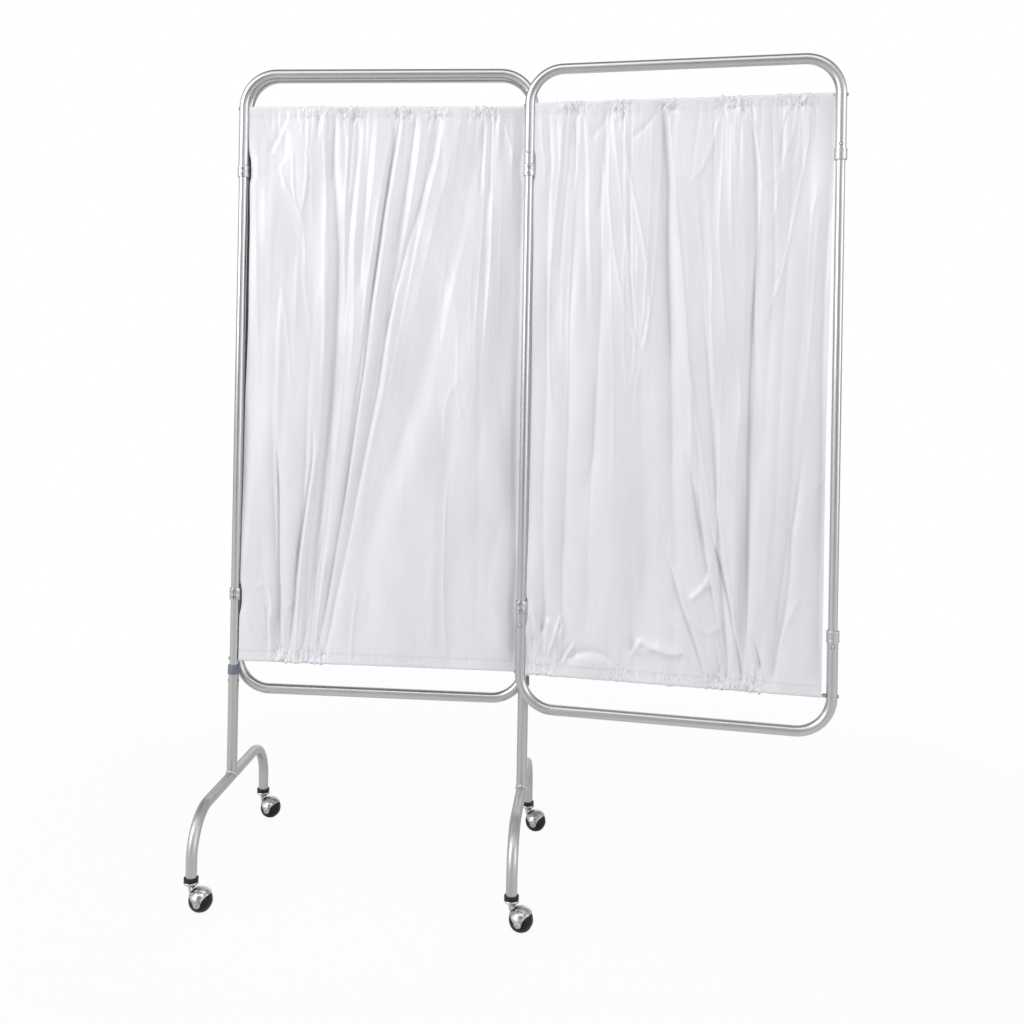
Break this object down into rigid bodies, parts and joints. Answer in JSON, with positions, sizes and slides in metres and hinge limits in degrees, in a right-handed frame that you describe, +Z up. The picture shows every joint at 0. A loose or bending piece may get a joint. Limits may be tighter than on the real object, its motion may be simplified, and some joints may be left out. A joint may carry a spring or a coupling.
{
  "type": "privacy screen",
  "caption": "Folding ward privacy screen: curtained tube frames joined by clip hinges on a base of arched feet with ball castors.",
  "frame": {"origin": "on the floor under the right leg post, midway between its two castors, where the centre frame meets the open wing", "axes": "+Z up, +X along the centre frame towards the open wing, -Y the front from which the screen is seen"},
  "size_m": [1.2877, 0.523, 1.7266],
  "materials": {
    "bow_metal": "bright satin drawn aluminium, anodised",
    "tube_metal": "bright satin drawn aluminium, anodised",
    "base_metal": "dull matte grey anodised aluminium",
    "rod_metal": "zinc plated steel rod",
    "clip_metal": "satin extruded aluminium",
    "screw_brass": "yellow plated slotted screw",
    "collar_plastic": "blue-grey moulded plastic",
    "sleeve_plastic": "black moulded plastic",
    "castor_metal": "polished zinc plated steel",
    "wheel_plastic": "black moulded plastic, slightly glossy",
    "vinyl": "white vinyl sheet with a soft gloss"
  },
  "bodies": {
    "stand": {"centre_top_bow": "bow_metal", "centre_top_rod": "rod_metal", "centre_bottom_rod": "rod_metal", "centre_curtain": "vinyl", "centre_left_tube": "tube_metal", "left_leg_post": "base_metal", "left_leg_collar": "collar_plastic", "left_foot": "base_metal", "centre_right_tube": "tube_metal", "right_leg_post": "base_metal", "right_leg_collar": "collar_plastic", "right_foot": "base_metal", "left_front_castor_sleeve": "sleeve_plastic", "left_back_castor_sleeve": "sleeve_plastic", "right_front_castor_sleeve": "sleeve_plastic", "right_back_castor_sleeve": "sleeve_plastic"},
    "left_hinge_clips": {"left_upper_clip_half_a": "clip_metal", "left_upper_clip_half_b": "clip_metal", "left_upper_clip_screw": "screw_brass", "left_lower_clip_half_a": "clip_metal", "left_lower_clip_half_b": "clip_metal", "left_lower_clip_screw": "screw_brass"},
    "left_wing": {"left_wing_top_bow": "bow_metal", "left_wing_bottom_bow": "bow_metal", "left_wing_inner_tube": "tube_metal", "left_wing_outer_tube": "tube_metal", "left_wing_upper_ferrule": "tube_metal", "left_wing_lower_ferrule": "tube_metal", "left_wing_top_rod": "rod_metal", "left_wing_bottom_rod": "rod_metal", "left_wing_curtain": "vinyl"},
    "right_hinge_clips": {"right_upper_clip_half_a": "clip_metal", "right_upper_clip_half_b": "clip_metal", "right_upper_clip_screw": "screw_brass", "right_lower_clip_half_a": "clip_metal", "right_lower_clip_half_b": "clip_metal", "right_lower_clip_screw": "screw_brass"},
    "right_wing": {"right_wing_top_bow": "bow_metal", "right_wing_bottom_bow": "bow_metal", "right_wing_inner_tube": "tube_metal", "right_wing_outer_tube": "tube_metal", "right_wing_upper_ferrule": "tube_metal", "right_wing_lower_ferrule": "tube_metal", "right_wing_top_rod": "rod_metal", "right_wing_bottom_rod": "rod_metal", "right_wing_curtain": "vinyl"},
    "left_front_castor": {"left_front_castor_hood": "castor_metal", "left_front_castor_axle": "castor_metal"},
    "left_front_wheel": {"left_front_castor_wheel": "wheel_plastic"},
    "left_back_castor": {"left_back_castor_hood": "castor_metal", "left_back_castor_axle": "castor_metal"},
    "left_back_wheel": {"left_back_castor_wheel": "wheel_plastic"},
    "right_front_castor": {"right_front_castor_hood": "castor_metal", "right_front_castor_axle": "castor_metal"},
    "right_front_wheel": {"right_front_castor_wheel": "wheel_plastic"},
    "right_back_castor": {"right_back_castor_hood": "castor_metal", "right_back_castor_axle": "castor_metal"},
    "right_back_wheel": {"right_back_castor_wheel": "wheel_plastic"}
  },
  "joints": [
    {"name": "left_clip_swing", "type": "hinge", "parent": "stand", "child": "left_hinge_clips", "pos_m": [-0.635, 0, 1], "axis": [0, 0, 1], "range_deg": [0, 90]},
    {"name": "left_wing_swing", "type": "hinge", "parent": "left_hinge_clips", "child": "left_wing", "pos_m": [-0.635, 0.03, 1], "axis": [0, 0, 1], "range_deg": [0, 180]},
    {"name": "right_clip_swing", "type": "hinge", "parent": "stand", "child": "right_hinge_clips", "pos_m": [0, 0, 1], "axis": [0, 0, 1], "range_deg": [0, 90]},
    {"name": "right_wing_swing", "type": "hinge", "parent": "right_hinge_clips", "child": "right_wing", "pos_m": [-0.00521, -0.02954, 1], "axis": [0, 0, 1], "range_deg": [-172, 8]},
    {"name": "left_front_swivel", "type": "hinge", "parent": "stand", "child": "left_front_castor", "pos_m": [-0.635, -0.235, 0.06], "axis": [0, 0, 1], "continuous": true},
    {"name": "left_front_roll", "type": "hinge", "parent": "left_front_castor", "child": "left_front_wheel", "pos_m": [-0.615, -0.235, 0.02291], "axis": [0, 1, 0], "continuous": true},
    {"name": "left_back_swivel", "type": "hinge", "parent": "stand", "child": "left_back_castor", "pos_m": [-0.635, 0.235, 0.06], "axis": [0, 0, 1], "continuous": true},
    {"name": "left_back_roll", "type": "hinge", "parent": "left_back_castor", "child": "left_back_wheel", "pos_m": [-0.61525, 0.23187, 0.02291], "axis": [0.1564, 0.9877, 0], "continuous": true},
    {"name": "right_front_swivel", "type": "hinge", "parent": "stand", "child": "right_front_castor", "pos_m": [0, -0.235, 0.06], "axis": [0, 0, 1], "continuous": true},
    {"name": "right_front_roll", "type": "hinge", "parent": "right_front_castor", "child": "right_front_wheel", "pos_m": [0.01941, -0.23984, 0.02291], "axis": [0.2419, 0.9703, 0], "continuous": true},
    {"name": "right_back_swivel", "type": "hinge", "parent": "stand", "child": "right_back_castor", "pos_m": [0, 0.235, 0.06], "axis": [0, 0, 1], "continuous": true},
    {"name": "right_back_roll", "type": "hinge", "parent": "right_back_castor", "child": "right_back_wheel", "pos_m": [0.01956, 0.23084, 0.02291], "axis": [0.2079, 0.9781, 0], "continuous": true}
  ]
}
